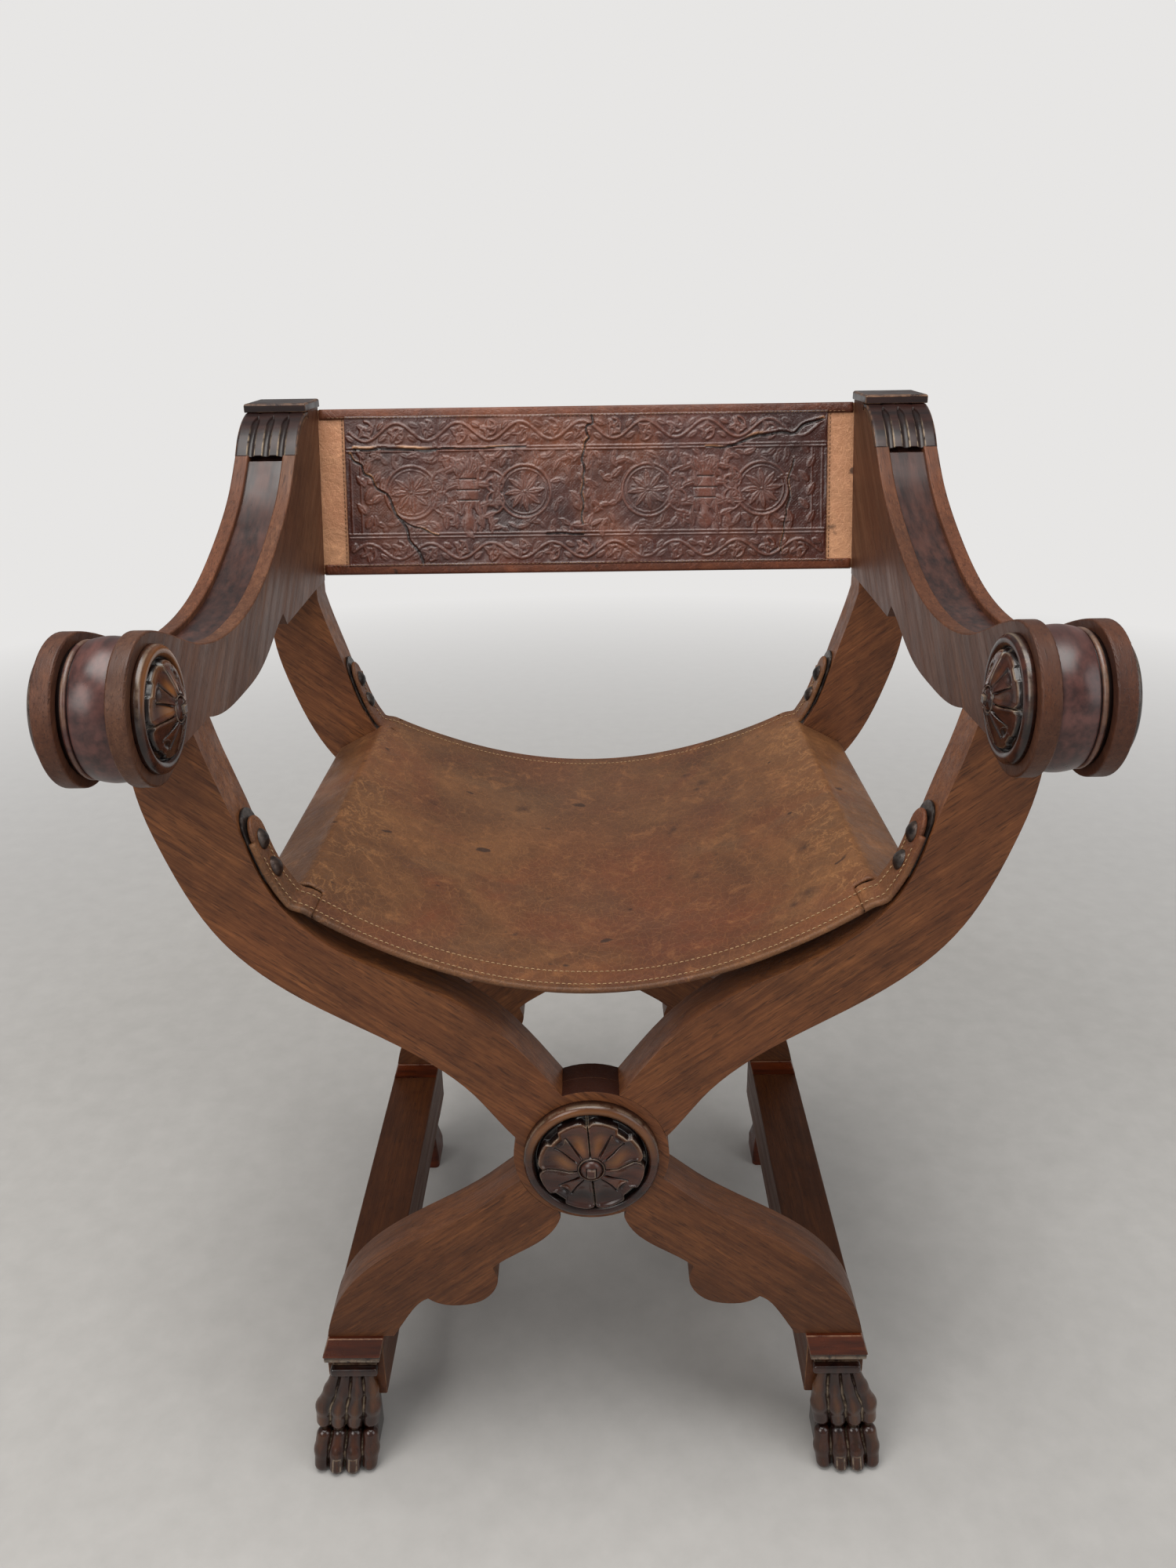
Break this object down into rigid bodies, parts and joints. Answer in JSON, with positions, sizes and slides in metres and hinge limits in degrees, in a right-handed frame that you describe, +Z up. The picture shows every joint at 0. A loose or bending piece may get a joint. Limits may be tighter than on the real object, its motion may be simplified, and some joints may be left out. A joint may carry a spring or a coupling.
{
  "type": "savonarola chair",
  "caption": "Folding X-frame wooden armchair with half-lapped legs, carved scroll arms, paw feet, a leather sling seat and a stretched leather back.",
  "frame": {"origin": "middle of the chair's overall box at floor level, chair open", "axes": "+X to the sitter's left, -Y to the front, +Z up"},
  "size_m": [0.685, 0.5828, 0.884],
  "materials": {
    "walnut": "satin, worn, open grain",
    "dark_wood": "semi-gloss dark stain",
    "pin_wood": "plain, hidden",
    "seat_hide": "worn, semi-matte",
    "back_hide": "worn, semi-matte",
    "embossed_hide": "dark, embossed, semi-gloss",
    "dark_iron": "dark, aged"
  },
  "bodies": {
    "frame_a": {"front_leg_a": "walnut", "rear_leg_a": "walnut", "hub_rosette_front": "dark_wood", "hub_rosette_rear": "dark_wood", "pivot_pin_front": "pin_wood", "pivot_pin_rear": "pin_wood", "seat_leather": "seat_hide", "back_leather": "back_hide", "back_embossed_panel": "embossed_hide", "arm_inner_board_left": "walnut", "arm_outer_board_left": "walnut", "arm_core_left": "dark_wood", "scroll_drum_left": "dark_wood", "arm_cap_left": "dark_wood", "arm_plate_left": "dark_wood", "scroll_rosette_inner_left": "dark_wood", "scroll_rosette_outer_left": "dark_wood", "seat_rail_left": "walnut", "strap_backing_left": "dark_iron", "strap_nails_left": "dark_iron", "back_nails_left": "dark_iron", "runner_right": "walnut", "front_block_right": "dark_wood", "rear_block_right": "dark_wood", "front_paw_foot_right": "dark_wood", "rear_foot_right": "dark_wood"},
    "frame_b": {"front_leg_b": "walnut", "rear_leg_b": "walnut", "arm_inner_board_right": "walnut", "arm_outer_board_right": "walnut", "arm_core_right": "dark_wood", "scroll_drum_right": "dark_wood", "arm_cap_right": "dark_wood", "arm_plate_right": "dark_wood", "scroll_rosette_inner_right": "dark_wood", "scroll_rosette_outer_right": "dark_wood", "seat_rail_right": "walnut", "strap_backing_right": "dark_iron", "strap_nails_right": "dark_iron", "back_nails_right": "dark_iron", "runner_left": "walnut", "front_block_left": "dark_wood", "rear_block_left": "dark_wood", "front_paw_foot_left": "dark_wood", "rear_foot_left": "dark_wood"}
  },
  "joints": [
    {"name": "fold", "type": "hinge", "parent": "frame_a", "child": "frame_b", "pos_m": [0, 0, 0.34], "axis": [0, -1, 0], "range_deg": [0, 40], "deforming": ["seat_leather", "back_leather", "back_embossed_panel"]}
  ]
}
